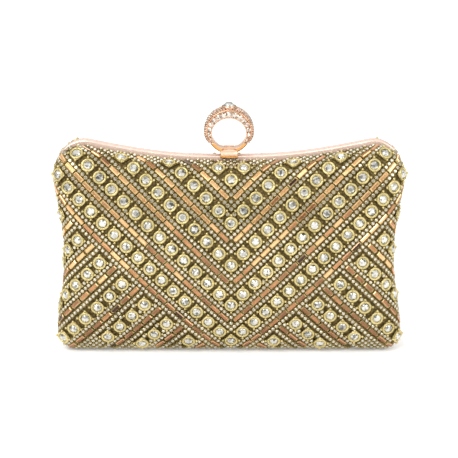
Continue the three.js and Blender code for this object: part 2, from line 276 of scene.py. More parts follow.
def scatter(name, template, places, material, body, smooth):
    """One piece holding a copy of the template at each place, an origin with three axes."""
    points, faces = facing_out(template)
    origins, axes = (np.array(some) for some in zip(*places))
    vertices = origins[:, None, :] + np.einsum("nk,mkj->mnj", np.array(points), axes)
    corners = np.concatenate(faces)
    starts = np.cumsum([0] + [len(f) for f in faces[:-1]])
    copies = np.arange(len(places))[:, None]
    loops = (corners + copies * len(points)).ravel()
    all_starts = (starts + copies * len(corners)).ravel()
    mesh = bpy.data.meshes.new(name)
    mesh.vertices.add(len(places) * len(points))
    mesh.vertices.foreach_set("co", (vertices * MM).astype(np.float32).ravel())
    mesh.loops.add(len(loops))
    mesh.loops.foreach_set("vertex_index", loops.astype(np.int32))
    mesh.polygons.add(len(all_starts))
    mesh.polygons.foreach_set("loop_start", all_starts.astype(np.int32))
    return finish_piece(name, mesh, material, body, smooth, ())


def strip_faces(rows, count, ring=False, closed=True):
    """Quads between rows of points. closed joins each row's ends, and ring the last row to the first."""
    faces = []
    for i in range(rows if ring else rows - 1):
        a, b = i * count, ((i + 1) % rows) * count
        for k in range(count if closed else count - 1):
            m = (k + 1) % count
            faces.append((a + k, a + m, b + m, b + k))
    return faces


def circle(radius, height, sides, twist):
    """Points round the Z axis. twist turns them by a share of one side."""
    angles = [2 * math.pi * (k + twist) / sides for k in range(sides)]
    return [(radius * math.cos(a), radius * math.sin(a), height) for a in angles]


def turned(profile, sides, twist=0.0):
    """A solid of revolution about the local Z axis. The profile is a list of (radius, height), and a
    radius of 0 closes it."""
    points, faces, rows = [], [], []
    for radius, height in profile:
        ring = circle(radius, height, sides, twist) if radius else [(0.0, 0.0, height)]
        rows.append(list(range(len(points), len(points) + len(ring))))
        points += ring
    for low, high in zip(rows, rows[1:]):
        for k in range(sides):
            m = (k + 1) % sides
            if len(low) == 1:
                faces.append((low[0], high[m], high[k]))
            elif len(high) == 1:
                faces.append((low[k], low[m], high[0]))
            else:
                faces.append((low[k], low[m], high[m], high[k]))
    return points, faces


def block(x, y, z):
    """A box between two corners, given as (low, high) on each axis."""
    points = [(a, b, c) for c in z for b in y for a in x]
    faces = [(0, 2, 3, 1), (4, 5, 7, 6), (0, 1, 5, 4), (2, 6, 7, 3), (0, 4, 6, 2), (1, 3, 7, 5)]
    return points, faces


def moved(part, by):
    return np.asarray(part[0]) + by, part[1]


def scaled(part, size, height):
    return np.asarray(part[0]) * [size, size, height], part[1]


def together(*parts):
    points, faces = [], []
    for some_points, some_faces in parts:
        faces += [tuple(i + len(points) for i in f) for f in some_faces]
        points += list(some_points)
    return points, faces


# -------- outline and crowned faces


def bezier(p0, p1, p2, p3, steps):
    t = np.arange(steps)[:, None] / steps
    p0, p1, p2, p3 = (np.array(p) for p in (p0, p1, p2, p3))
    return (1 - t) ** 3 * p0 + 3 * (1 - t) ** 2 * t * p1 + 3 * (1 - t) * t**2 * p2 + t**3 * p3


def arc(centre, radius, start, end, steps):
    t = start + (end - start) * np.arange(steps) / steps
    return np.array(centre) + radius * np.stack([np.cos(t), np.sin(t)], axis=1)


def heading(angle):
    return np.array([math.cos(angle), math.sin(angle)])


def outline(inset, rise, foot):
    """The body's outline as (x, z), counter-clockwise from the bottom middle."""
    side = HALF_WIDTH - inset
    base_r = BASE_R - min(inset, foot)
    corner_r = CORNER_R - (inset - rise) / 2
    corner = np.array([side - corner_r, CORNER_Z + CORNER_R + rise - corner_r])
    lean = math.pi / 2 + CORNER_LEAN
    leave = corner + corner_r * heading(lean)
    over = leave - leave[0] * 0.44 * heading(CORNER_LEAN)
    top = CROWN_Z + rise
    waist = side - WAIST
    line = np.array([0, foot]) + np.array([side - base_r, 0]) * (np.arange(28) / 28)[:, None]
    right = np.concatenate([
        line,
        arc((side - base_r, foot + base_r), base_r, -math.pi / 2, 0, 9),
        bezier((side, foot + base_r), (side, 26), (waist, 38), (waist, WAIST_Z), 16),
        bezier((waist, WAIST_Z), (waist, 80), (side, 92), (side, corner[1]), 16),
        arc(corner, corner_r, 0, lean, 14),
        bezier(leave, over, (leave[0] * 0.38, top), (0, top), 26),
    ])
    left = right[:0:-1] * [-1, 1]
    return np.concatenate([right, [[0, top]], left])


def loop_at(contour, y):
    return np.stack([contour[:, 0], np.full(len(contour), float(y)), contour[:, 1]], axis=1)


def face_rings(depth, turns=34, wall=4):
    """Rings of a crowned face `depth` under the envelope, from the rim inward, without the middle point."""
    edge = outline(depth, -depth - TOP_DRAFT, depth)
    rings = []
    for share in np.linspace(0, 1, wall + 1)[:-1]:
        level = outline(depth, -depth - TOP_DRAFT * share**1.5, depth)
        rings.append(loop_at(level, -(RIM_Y + (WALL_DEPTH - RIM_Y) * share)))
    middle = np.array([0, CENTRE_Z])
    half = np.array([HALF_WIDTH - depth, CENTRE_Z - depth])
    for part in np.linspace(0, 1, turns + 1)[:-1]:
        turn = part * math.pi / 2
        shrink = [math.cos(turn) ** (2 / power) for power in (CROWN_POWER_ACROSS, CROWN_POWER_UP)]
        away = edge - middle
        angle = np.arctan2(away[:, 1] / half[1], away[:, 0] / half[0])
        oval = half * np.stack([np.cos(angle), np.sin(angle)], axis=1)
        contour = middle + (away + (oval - away) * CORNER_SOFTNESS * part**2) * shrink
        rings.append(loop_at(contour, -(WALL_DEPTH + (HALF_DEPTH - depth - WALL_DEPTH) * math.sin(turn))))
    return np.array(rings)


def half_turn(points):
    return np.asarray(points) * [-1, -1, 1]


HALVES = {"front": np.asarray, "rear": half_turn}


def on_half(half, part):
    """A part made on the front half, moved to the given one."""
    return HALVES[half](part[0]), part[1]


def face_middle(depth):
    return np.array([0, depth - HALF_DEPTH, CENTRE_Z])


def dish(layer, pucker=0.0):
    """A thin crowned shell between two depths, closed round its rim. pucker gathers its inner side."""
    outer, inner = face_rings(layer[0]), face_rings(layer[1])
    if pucker:
        inner = puckered(inner, pucker)
    count = outer.shape[1]
    rows = np.concatenate([outer[::-1], inner])
    points = np.concatenate([rows.reshape(-1, 3), [face_middle(layer[0]), face_middle(layer[1])]])
    faces = strip_faces(len(rows), count)
    last = (len(rows) - 1) * count
    for k in range(count):
        m = (k + 1) % count
        faces += [(k, len(points) - 2, m), (last + k, last + m, len(points) - 1)]
    return points, faces


# -------- laying flat trim on a crowned face


class CrownedSurface:
    """A crowned face with a flat map of it. On the map s runs to the right and t up from the face's middle,
    in millimetres along the surface, so trim that is straight on the map lies straight on the face."""

    def __init__(self, depth):
        rings = face_rings(depth, 44, 5)[::-1]
        tangent = np.roll(rings, -1, axis=1) - np.roll(rings, 1, axis=1)
        outward = np.stack([tangent[..., 2], -tangent[..., 0]], axis=-1)
        outward /= np.linalg.norm(outward, axis=-1, keepdims=True)
        middle = face_middle(depth)
        before = np.broadcast_to(middle, rings[0].shape)
        flat = np.zeros((rings.shape[1], 2))
        flats = []
        for ring, out in zip(rings, outward):
            step = ring - before
            level = step[:, [0, 2]]
            down = (level * out).sum(axis=1)
            bend = np.sqrt(down**2 + step[:, 1] ** 2) - down
            flat = flat + level + out * bend[:, None]
            flats.append(flat)
            before = ring
        count = rings.shape[1]
        self.space = np.concatenate([rings.reshape(-1, 3), [middle]])
        flats = np.array(flats).reshape(-1, 2)
        self.flat = np.concatenate([np.c_[flats, np.zeros(len(flats))], [[0, 0, 0]]])
        centre = len(self.space) - 1
        quads = strip_faces(len(rings), count)
        self.triangles = [(q[0], q[1], q[2]) for q in quads] + [(q[0], q[2], q[3]) for q in quads]
        self.triangles += [(k, (k + 1) % count, centre) for k in range(count)]
        self.tree = BVHTree.FromPolygons(self.flat.tolist(), self.triangles)
        self.reach = np.abs(self.flat).max(axis=0)

    def at(self, s, t):
        """The point of the face at (s, t), or None outside it."""
        _, _, index, distance = self.tree.find_nearest(Vector((s, t, 0)))
        if index is None or distance > 0.01:
            return None
        a, b, c = self.triangles[index]
        fa, fb, fc = (self.flat[i][:2] for i in (a, b, c))
        basis = np.array([fb - fa, fc - fa]).T
        u, v = np.linalg.solve(basis, np.array([s, t]) - fa)
        return self.space[a] + u * (self.space[b] - self.space[a]) + v * (self.space[c] - self.space[a])

    def place(self, s, t, angle, reach=0.6):
        """An origin and three axes at (s, t): along `angle` on the map, across it, and out of the face."""
        here = self.at(s, t)
        along = heading(angle)
        ends = [self.at(*(np.array([s, t]) + way * reach * along)) for way in (-1, 1)]
        sides = [self.at(*(np.array([s, t]) + way * reach * along[::-1] * [-1, 1])) for way in (-1, 1)]
        if here is None or any(p is None for p in ends + sides):
            return None
        x = ends[1] - ends[0]
        z = np.cross(x, sides[1] - sides[0])
        x /= np.linalg.norm(x)
        z /= np.linalg.norm(z)
        return here, np.array([x, np.cross(z, x), z])


class Occupied:
    """The discs of surface that are already taken, found again by a coarse grid."""

    CELL = 8.0

    def __init__(self):
        self.cells = {}

    def key(self, p):
        return tuple(int(math.floor(c / self.CELL)) for c in p)

    def clear(self, p, radius, squeeze):
        i, j, k = self.key(p)
        near = [(i + a, j + b, k + c) for a in (-1, 0, 1) for b in (-1, 0, 1) for c in (-1, 0, 1)]
        discs = (disc for cell in near for disc in self.cells.get(cell, ()))
        return all(np.linalg.norm(p - other) >= (radius + r) * squeeze for other, r in discs)

    def take(self, p, radius):
        self.cells.setdefault(self.key(p), []).append((p, radius))


def rows_of_trim():
    """Every stone of the pattern on the flat map, as (kind, s, t, angle), the big ones first."""
    stones = []

    def row(kind, start, direction, pitch, first):
        for i in range(LONGEST_ROW):
            s, t = start + direction * (first + i * pitch)
            if abs(s) < MAP_REACH[0] and abs(t) < MAP_REACH[1]:
                stones.append((kind, s, t, math.atan2(direction[1], direction[0])))

    # How far from a row of baguettes its edge lies, and the rows of small, big and small stones above it.
    edge = (BAGUETTE[1] + BAGUETTE_ROOM) / 2
    small = edge + SMALL_ROW / 2
    big = edge + SMALL_ROW + BIG_ROW / 2
    upper = 2 * big - small

    def v_row(kind, foot, across, pitch):
        """One arm of a V. Only the left arm has the stone on the middle line."""
        row(kind, (0, foot + across / ACROSS_UP), arm, pitch, 0 if side < 0 else pitch)

    def cross_row(kind, along, pitch, nearer=0.0):
        """A row that runs down and out from the lowest V, `along` its arm."""
        start = np.array([0, FIRST_V]) + (along - FIRST_V * ACROSS_UP) * arm
        row(kind, start, down, pitch, edge + SMALL_ROW + pitch / 2 - nearer)

    for side in (-1, 1):
        arm = np.array([side, 1]) * ACROSS_UP
        down = np.array([side, -1]) * ACROSS_UP
        for band in range(ROWS_OF["v"]):
            foot = FIRST_V + band * BAND / ACROSS_UP
            row("baguette", (0, foot), arm, BAGUETTE_PITCH, BAGUETTE_START)
            v_row("small", foot, small, SMALL_PITCH)
            v_row("big", foot, big, BIG_PITCH + band * BIG_PITCH_STEP)
            v_row("small", foot, upper, SMALL_PITCH)
            if side < 0:
                stones.append(("small", 0, foot, math.pi / 4))
        v_row("small", FIRST_V, -small, SMALL_PITCH)
        for cross in range(ROWS_OF["cross"]):
            along = FIRST_CROSS + cross * CROSS_BAND
            cross_row("baguette", along, CROSS_BAGUETTE_PITCH, CROSS_BAGUETTE_NEARER)
            cross_row("small", along + small, SMALL_PITCH)
            cross_row("big", along + big - CROSS_BIG_LOWER, CROSS_BIG_PITCH)
            cross_row("small", along + upper, SMALL_PITCH)
    stones.sort(key=lambda stone: list(SIZES).index(stone[0]))
    return stones


def footprint(kind, s, t, angle):
    """Discs that cover a stone's claw on the map, as (s, t, radius), and points that must be on the face."""
    along = heading(angle)
    across = along[::-1] * [-1, 1]
    here = np.array([s, t])
    if kind == "big":
        corners = [here + BIG_REACH * (a * along + b * across) for a in (-1, 1) for b in (-1, 1)]
        return [(*here, BIG_REACH)], corners
    if kind == "baguette":
        spots = [here + a * along for a in (-2.3, -0.8, 0.8, 2.3)]
        ends = [here + a * BAGUETTE[0] / 2 * along + b * 1.1 * across for a in (-1, 1) for b in (-1, 1)]
        return [(*p, 1.05) for p in spots], ends
    return [(*here, 1.2)], [here + 0.8 * w * d for w in (-1, 1) for d in (along, across)]


def stands_clear(kind, place):
    """Whether a stone and its claw stay above the ground. Only small stones go underneath."""
    reach, height = SIZES[kind]
    down = min(0.0, place[1][2][2])
    if kind != "small" and down < -0.75:
        return False
    return place[0][2] + height * down - reach * math.sqrt(1 - down * down) * (down < 0) > 0.05


def lay_trim(surface):
    """Places of every stone on one face, by kind. Gaps at the edges are filled with small stones."""
    taken = Occupied()
    placed = {kind: [] for kind in SIZES}

    def lay(kind, s, t, angle, squeeze):
        if s * s / surface.reach[0] ** 2 > 1.02 or abs(t) > surface.reach[1]:
            return
        discs, must = footprint(kind, s, t, angle)
        if any(surface.at(*p) is None for p in must):
            return
        spots = [(surface.at(a, b), r) for a, b, r in discs]
        if any(p is None or not taken.clear(p, r, squeeze) for p, r in spots):
            return
        place = surface.place(s, t, angle)
        if place is None or not stands_clear(kind, place):
            return
        for p, r in spots:
            taken.take(p, r)
        placed[kind].append(place)

    for kind, s, t, angle in rows_of_trim():
        lay(kind, s + PATTERN_SHIFT, t, angle, ROW_SQUEEZE)
    step = SMALL_PITCH * ACROSS_UP
    for i in FILLERS:
        for j in FILLERS:
            lay("small", (i - j) * step + PATTERN_SHIFT, (i + j) * step, math.pi / 4, FILLER_SQUEEZE)
    return placed


# -------- stones and their claws


def small_claw():
    """A square foot, and a round cup with four beads at the stone's edge. Heights are above the backing."""
    foot = turned([(0, 0), (1.75, 0.05), (1.6, 0.5), (0, 0.55)], 4, 0.5)
    cup = turned([(1.05, 0.3), (1.25, 0.5), (1.22, 1.2), (1.02, 1.36), (0.9, 1.2)], 10)
    bead = turned([(0, -0.28), (0.3, 0.0), (0, 0.3)], 4)
    return together(foot, cup, *(moved(bead, spot) for spot in circle(1.05, 1.38, 4, 0.5)))


def brilliant(girdle, table, low, high, sides=8):
    """A round cut stone: a girdle, a crown of kite and triangle facets, and a flat table."""
    points, faces = [], []
    mid_radius, mid_height = (girdle + table) / 2 * 1.04, low + (high - low) * 0.55
    for radius, height, twist in ((girdle, low, 0.5), (mid_radius, mid_height, 0), (table, high, 0.5)):
        points += circle(radius, height, sides, twist)
    for k in range(sides):
        m = (k + 1) % sides
        faces += [(k, m, sides + m), (k, sides + m, sides + k)]
        faces += [(sides + k, sides + m, 2 * sides + k), (sides + m, 2 * sides + m, 2 * sides + k)]
    faces += [tuple(range(2 * sides, 3 * sides)), tuple(range(sides - 1, -1, -1))]
    return points, faces


def ball(radius, rings=5, sides=8):
    angles = [math.pi * i / rings for i in range(1, rings)]
    profile = [(radius * math.sin(a), -radius * math.cos(a)) for a in angles]
    return turned([(0, -radius), *profile, (0, radius)], sides)


def big_claw():
    """A square plate, a wide round bezel on it, and towards each corner a ball and a bead on the bezel."""
    plate = turned([(0, 0.1), (4.6, 0.1), (4.85, 0.5), (4.75, 1.0), (4.3, 1.25), (0, 1.3)], 4, 0.5)
    bezel = [(3.4, 0.9), (3.75, 1.2), (3.85, 1.55), (3.7, 1.9), (3.35, 2.08)]
    bezel = turned([*bezel, (2.9, 2.0), (2.62, 1.8), (2.5, 1.5), (2.45, 1.1)], 28)
    balls = [moved(ball(0.8), spot) for spot in circle(4.6, 1.4, 4, 0.5)]
    beads = [moved(ball(0.5), spot) for spot in circle(3.0, 2.0, 4, 0.5)]
    return together(plate, bezel, *balls, *beads)


def baguette_claw():
    """A channel under a baguette, with a tab at each end."""
    half_x, half_y = (side / 2 + 0.15 for side in BAGUETTE)
    channel = block((-half_x, half_x), (-half_y, half_y), (0, 0.8))
    ends = (-BAGUETTE[0] / 2, BAGUETTE[0] / 2)
    return together(channel, *(block((x - 0.12, x + 0.12), (-0.7, 0.7), (0.2, 1.35)) for x in ends))


def baguette_stone():
    """A step-cut bar with a narrow bevel round a long table. The bevel's brightness is a painted highlight,
    given by its lighter material.
    """
    points = []
    for inset, z in ((0.05, 0.8), (0.05, 1.3), (0.45, 1.7)):
        x, y = (side / 2 - inset for side in BAGUETTE)
        points += [(-x, -y, z), (x, -y, z), (x, y, z), (-x, y, z)]
    return points, [*strip_faces(3, 4), (3, 2, 1, 0), (8, 9, 10, 11)]


# -------- materials


class Shader:
    """A node tree for one Principled material, built up by small steps."""

    def __init__(self, name, **constants):
        self.material = bpy.data.materials.new(name)
        self.material.use_nodes = True
        self.tree = self.material.node_tree
        self.surface = self.tree.nodes["Principled BSDF"]
        for socket, value in constants.items():
            self.surface.inputs[socket.replace("_", " ")].default_value = value
        self.place = self.node("ShaderNodeTexCoord").outputs["Object"]

    def node(self, kind, **values):
        """A new node with some of its inputs set."""
        made = self.tree.nodes.new(kind)
        for socket, value in values.items():
            made.inputs[socket.replace("_", " ")].default_value = value
        return made

    def link(self, source, node, socket):
        self.tree.links.new(source, node.inputs[socket])

    def noise(self, scale, detail=3.0, stretch=(1, 1, 1)):
        mapping = self.node("ShaderNodeMapping", Scale=stretch)
        self.link(self.place, mapping, "Vector")
        made = self.node("ShaderNodeTexNoise", Scale=scale, Detail=detail)
        self.link(mapping.outputs["Vector"], made, "Vector")
        return made.outputs["Fac"]

    def cells(self, scale):
        made = self.node("ShaderNodeTexVoronoi", Scale=scale)
        self.link(self.place, made, "Vector")
        return made

    def colour(self, factor, *stops):
        """Colours along a factor, as (position, colour)."""
        made = self.node("ShaderNodeValToRGB")
        for element, (position, colour) in zip(made.color_ramp.elements, (stops[0], stops[-1])):
            element.position, element.color = position, (*colour, 1)
        for position, colour in stops[1:-1]:
            made.color_ramp.elements.new(position).color = (*colour, 1)
        self.link(factor, made, "Fac")
        self.link(made.outputs["Color"], self.surface, "Base Color")

    def relief(self, factor, low, high, strength=0.0, distance=0.0):
        """Roughness between two values along a factor, and a bump that follows it."""
        made = self.node("ShaderNodeMapRange", To_Min=low, To_Max=high)
        self.link(factor, made, "Value")
        self.link(made.outputs["Result"], self.surface, "Roughness")
        if strength:
            bump = self.node("ShaderNodeBump", Strength=strength, Distance=distance)
            self.link(factor, bump, "Height")
            self.link(bump.outputs["Normal"], self.surface, "Normal")


def plated_metal(name, light, dark, rough, wear=0.06, metal=1.0):
    """Polished plate with slow tone changes, fine handling marks and a slightly uneven gloss."""
    shader = Shader(name, Metallic=metal)
    shader.colour(shader.noise(90, 4), (0.3, dark), (0.7, light))
    shader.relief(shader.noise(900, 2), *rough, wear, 0.0002)
    return shader.material


def cut_crystal(name, scale, bright, darkest):
    """Foil-backed clear stone. Its colour is broken into random cells of bright, grey and dark: a painted
    sparkle that stands in for the facets' reflections.
    """
    shader = Shader(name, Metallic=0.6, IOR=1.6, Coat_Weight=0.7, Coat_Roughness=0.03)
    sparkle_cell = shader.node("ShaderNodeSeparateColor")
    shader.link(shader.cells(scale).outputs["Color"], sparkle_cell, "Color")
    # Painted sparkle: the cells run from a dark reflection up to the stone's full colour.
    tones = [(0.0, darkest), (0.2, 0.3 + darkest), (0.45, 0.85), (1.0, 1.0)]
    shader.colour(sparkle_cell.outputs["Red"], *((at, tuple(c * level for c in bright)) for at, level in tones))
    shader.relief(sparkle_cell.outputs["Green"], 0.05, 0.16)
    return shader.material


def rim_highlight_tone(tone):
    """A baguette's colour made lighter for the bevels round its table: a painted highlight."""
    return tuple(c * 0.85 + lift for c, lift in zip(tone, RIM_HIGHLIGHT))


def tinted_baguette(name, light, dark):
    """Foil-backed coloured glass, streaked along the stone by its foil."""
    shader = Shader(name, Metallic=0.75, IOR=1.5, Coat_Weight=0.35, Coat_Roughness=0.05)
    streak = shader.noise(260, 3)
    shader.colour(streak, (0.35, dark), (0.65, light))
    shader.relief(streak, 0.08, 0.2)
    return shader.material


def backing_cloth():
    """Dark olive mesh that the claws are sewn through."""
    shader = Shader("backing_cloth", Specular_IOR_Level=0.3)
    weave = shader.cells(900).outputs["Distance"]
    shader.colour(weave, (0.0, (0.30, 0.21, 0.06)), (0.6, (0.08, 0.055, 0.015)))
    shader.relief(weave, 0.6, 0.9, 0.5, 0.0003)
    return shader.material


def satin_cloth(name, light, dark):
    """Satin: a fine ribbed weave, a soft sheen and slow shading."""
    shader = Shader(name, Sheen_Weight=0.25, Sheen_Roughness=0.35, Specular_IOR_Level=0.6)
    shader.colour(shader.noise(35, 3), (0.3, dark), (0.75, light))
    ribs = shader.node("ShaderNodeTexWave", Scale=900, Distortion=0.6)
    ribs.wave_type, ribs.bands_direction = "BANDS", "DIAGONAL"
    shader.link(shader.place, ribs, "Vector")
    shader.relief(ribs.outputs["Fac"], 0.34, 0.5, 0.25, 0.0001)
    return shader.material


def moulded_shell():
    """Black moulded board with a fine grain."""
    shader = Shader("moulded_shell", Specular_IOR_Level=0.4)
    grain = shader.noise(1400, 4)
    shader.colour(grain, (0.3, (0.02, 0.016, 0.012)), (0.7, (0.05, 0.042, 0.03)))
    shader.relief(grain, 0.5, 0.75, 0.3, 0.0002)
    return shader.material


def steel_wire():
    """Bright drawn wire, streaked along its length."""
    shader = Shader("steel_wire", Metallic=1.0)
    drawn = shader.noise(700, 3, (0.1, 1, 1))
    shader.colour(drawn, (0.3, (0.5, 0.51, 0.53)), (0.7, (0.74, 0.75, 0.77)))
    shader.relief(drawn, 0.18, 0.34, 0.1, 0.0001)
    return shader.material


ROSE_GOLD = plated_metal("rose_gold_plate", (0.92, 0.71, 0.60), (0.87, 0.64, 0.53), (0.24, 0.36), 0.015, 0.6)
RING_GOLD = plated_metal("ring_gold_plate", (0.80, 0.54, 0.38), (0.62, 0.38, 0.24), (0.2, 0.34), 0.02)
# A lighter, less metallic copy of the ring gold for the ring's inside and the apron: a painted highlight.
RING_HIGHLIGHT_GOLD = plated_metal("ring_highlight_gold", (0.88, 0.66, 0.50), (0.82, 0.58, 0.42), (0.3, 0.4), 0.01, 0.45)
# Orange plate for the hardware and the lip; on the ring's sides below the stones it is a painted shade.
ORANGE_GOLD_AND_RING_SHADE = plated_metal("clasp_gold_plate", (0.78, 0.42, 0.15), (0.60, 0.29, 0.09), (0.2, 0.34), 0.03)
CLAW_GOLD = plated_metal("claw_gold_plate", (0.74, 0.63, 0.32), (0.54, 0.45, 0.20), (0.36, 0.52))
# A darker copy of the claw gold for the small claws: painted shade where they sit low between the bigger
# stones.
SHADED_SMALL_CLAW_GOLD = plated_metal("small_claw_shaded_plate", (0.54, 0.44, 0.21), (0.34, 0.27, 0.11), (0.32, 0.48))
CRYSTAL = cut_crystal("big_crystal", 700, (0.72, 0.71, 0.65), 0.12)
# The small stones' crystal is dimmer and yellower than the big ones': painted shade where they sit low among
# the claws.
SMALL_CRYSTAL = cut_crystal("small_crystal", 1100, (0.66, 0.62, 0.50), 0.34)
RING_CRYSTAL = cut_crystal("ring_crystal", 1300, (0.72, 0.61, 0.52), 0.15)
TINTS = {
    "peach": ((0.88, 0.54, 0.27), (0.78, 0.44, 0.20)),
    "copper": ((0.52, 0.25, 0.115), (0.38, 0.17, 0.07)),
    "brown": ((0.33, 0.15, 0.068), (0.22, 0.095, 0.04)),
    "dark": ((0.06, 0.024, 0.012), (0.015, 0.006, 0.004)),
}
BAGUETTES = [tinted_baguette(f"baguette_{name}", *tones) for name, tones in TINTS.items()]
# Lighter copies of each colour for the bevels: a painted highlight.
BAGUETTES += [tinted_baguette(f"baguette_{name}_rim", *map(rim_highlight_tone, tones)) for name, tones in TINTS.items()]
CLOTH = backing_cloth()
SATIN = satin_cloth("champagne_satin", (0.59, 0.48, 0.35), (0.5, 0.38, 0.26))
SHELL_BOARD = moulded_shell()
STEEL = steel_wire()

# -------- camera, light and floor


def make_camera():
    """A long lens, a little above level, that looks along +Y."""
    camera = put_in_scene("camera", bpy.data.cameras.new("camera"))
    camera.data.lens = CAMERA_LENS
    camera.data.sensor_width = 36.0
    back = Vector((0, -math.cos(CAMERA_ELEVATION), math.sin(CAMERA_ELEVATION)))
    camera.location = (Vector(CAMERA_TARGET) + back * CAMERA_DISTANCE) * MM
    camera.rotation_euler = (-back).to_track_quat("-Z", "Y").to_euler()
    camera.data.clip_end = 100
    bpy.context.scene.camera = camera


def area_light(name, place, size, power):
    """A rectangular light that faces the object."""
    lamp = put_in_scene(name, bpy.data.lights.new(name, "AREA"))
    lamp.data.shape = "RECTANGLE"
    lamp.data.size, lamp.data.size_y = size
    lamp.data.energy = power
    lamp.location = place
    lamp.rotation_euler = (Vector(place) - Vector(LIT_POINT)).to_track_quat("Z", "Y").to_euler()


def make_world():
    """A pale room: bright overhead, darker towards the horizon."""
    world = bpy.data.worlds.new("studio")
    world.use_nodes = True
    tree = world.node_tree
    background = tree.nodes["Background"]
    place = tree.nodes.new("ShaderNodeTexCoord")
    split = tree.nodes.new("ShaderNodeSeparateXYZ")
    ramp = tree.nodes.new("ShaderNodeValToRGB")
    low, high = ramp.color_ramp.elements
    low.position, low.color = 0.0, (0.28, 0.27, 0.26, 1)
    high.position, high.color = 0.7, (1, 1, 1, 1)
    tree.links.new(place.outputs["Generated"], split.inputs[0])
    tree.links.new(split.outputs["Z"], ramp.inputs["Fac"])
    tree.links.new(ramp.outputs["Color"], background.inputs["Color"])
    background.inputs["Strength"].default_value = WORLD_LIGHT
    bpy.context.scene.world = world


def make_floor():
    """A pale matt floor, much wider than the view."""
    shader = Shader("pale_floor", Roughness=0.9, Specular_IOR_Level=0.0)
    shader.surface.inputs["Emission Color"].default_value = (1, 1, 1, 1)
    shader.surface.inputs["Emission Strength"].default_value = FLOOR_GLOW
    shader.colour(shader.noise(3, 2), (0.0, (0.93, 0.93, 0.93)), (1.0, (0.96, 0.96, 0.96)))
    corners = [(x * FLOOR_REACH, y * FLOOR_REACH, 0) for x, y in ((-1, -1), (1, -1), (1, 1), (-1, 1))]
    floor = mesh_object("floor", corners, [(0, 1, 2, 3)], shader.material, None, False)


make_camera()
make_world()
make_floor()
for light, settings in LIGHTS.items():
    area_light(light, *settings)
bpy.context.scene.view_settings.view_transform = "Standard"

# -------- covers


def tone_of(place, chance):
    """The number in TINTS of the colour at a place: copper along the top edge, peach below it, mixed copper
    and brown further down, and a few dark ones. Peach higher up and where the face turns upward, and brown
    lower down, is partly painted light from above and partly a random mix of stone colours."""
    height, upward = place[0][2] - CENTRE_Z, place[1][2][2]
    if chance.random() < DARK_SHARE:
        return 3
    if upward > COPPER_ABOVE:
        return chance.choice((1, 1, 2))
    # Painted light from above: height and upward facing push a stone towards peach, with a random share on
    # top.
    level = height / 60 + upward * 0.8 + chance.uniform(-0.6, 0.6)
    return sum(level <= edge for edge in TONE_LEVELS)


def baguettes(name, places, body, seed):
    """All of one face's baguettes, as one piece with two materials for each colour: the table, and the
    bevels with a painted highlight.
    """
    chance = random.Random(seed)
    tones = [tone_of(place, chance) for place in places]
    template = baguette_stone()
    piece = scatter(name, template, places, BAGUETTES, body, False)
    # The bevel faces take the lighter copy of their colour, a painted highlight.
    highlight_slots = np.array([len(TINTS) if 4 <= k < 8 else 0 for k in range(len(template[1]))])
    slots = (np.array(tones)[:, None] + highlight_slots).ravel().astype(np.int32)
    piece.data.polygons.foreach_set("material_index", slots)


def cover(half, trim):
    """A half's backing cloth and moulded shell, with the stones and claws on it."""
    body, turn, slot = f"{half}_half", HALVES[half], "crystal_trim"
    places = {kind: [(turn(p), turn(axes)) for p, axes in some] for kind, some in trim.items()}

    def lay(name, template, kind, material, smooth):
        scatter(f"{half}_{name}", template, places[kind], material, body, smooth)

    backing, moulding = on_half(half, dish(BACKING)), on_half(half, dish(MOULDING))
    solid(f"{half}_backing", backing, CLOTH, body, [f"{half}_crystal_cover"])
    solid(f"{half}_moulding", moulding, SHELL_BOARD, body, [f"{half}_shell"])
    lay("small_claws", small_claw(), "small", SHADED_SMALL_CLAW_GOLD, True)
    lay("small_stones", brilliant(1.04, 0.66, 1.15, 1.6), "small", SMALL_CRYSTAL, False)
    lay("big_claws", big_claw(), "big", CLAW_GOLD, True)
    lay("big_stones", brilliant(2.5, 1.3, 1.45, 2.5, 12), "big", CRYSTAL, False)
    lay("baguette_claws", baguette_claw(), "baguette", CLAW_GOLD, False)
    baguettes(f"{half}_baguettes", places["baguette"], body, COLOUR_SEEDS[half])


# -------- frames


def frame_band():
    """A half frame: a closed band with a softly crowned outer face."""
    inset, rise, foot = FRAME_OUT
    near, far = FRAME_Y
    outer = [(0.5, near), (0.22, near + 0.06), (0.06, near + 0.25), (0, near + 0.7)]
    outer += [(0, far - 0.9), (0.08, far - 0.5), (0.3, far - 0.18), (0.8, far)]
    rings = [loop_at(outline(inset + d, rise - d, foot + d), -y) for d, y in outer]
    rings += [loop_at(outline(*FRAME_IN), -y) for y in (far, near)]
    return np.concatenate(rings), strip_faces(len(rings), len(rings[0]), ring=True)


def frame_half(half):
    band = on_half(half, frame_band())
    solid(f"{half}_frame_band", band, ROSE_GOLD, f"{half}_half", [f"{half}_frame"], 40)


# -------- finger ring


def eased(value):
    """0 below 0, 1 above 1, and a smooth step between."""
    value = min(1.0, max(0.0, value))
    return value * value * (3 - 2 * value)


def from_top(turn):
    """The angle from the top of the ring, down either side."""
    return abs((turn + math.pi) % (2 * math.pi) - math.pi)


def ring_half_width(turn):
    return RING_HALF_BOTTOM + (RING_HALF_TOP - RING_HALF_BOTTOM) * (1 + math.cos(turn)) / 2


def on_ring(oval, turn, y, out=0.0):
    """A point on one of the ring's ovals at a height y, moved out by `out`."""
    z, across, up = oval
    if oval is not RING_BORE:
        out -= RING_TAPER * eased((from_top(turn) - math.radians(92)) / math.radians(36))
    return np.array([(across + out) * math.sin(turn), y, z + (up + out) * math.cos(turn)])


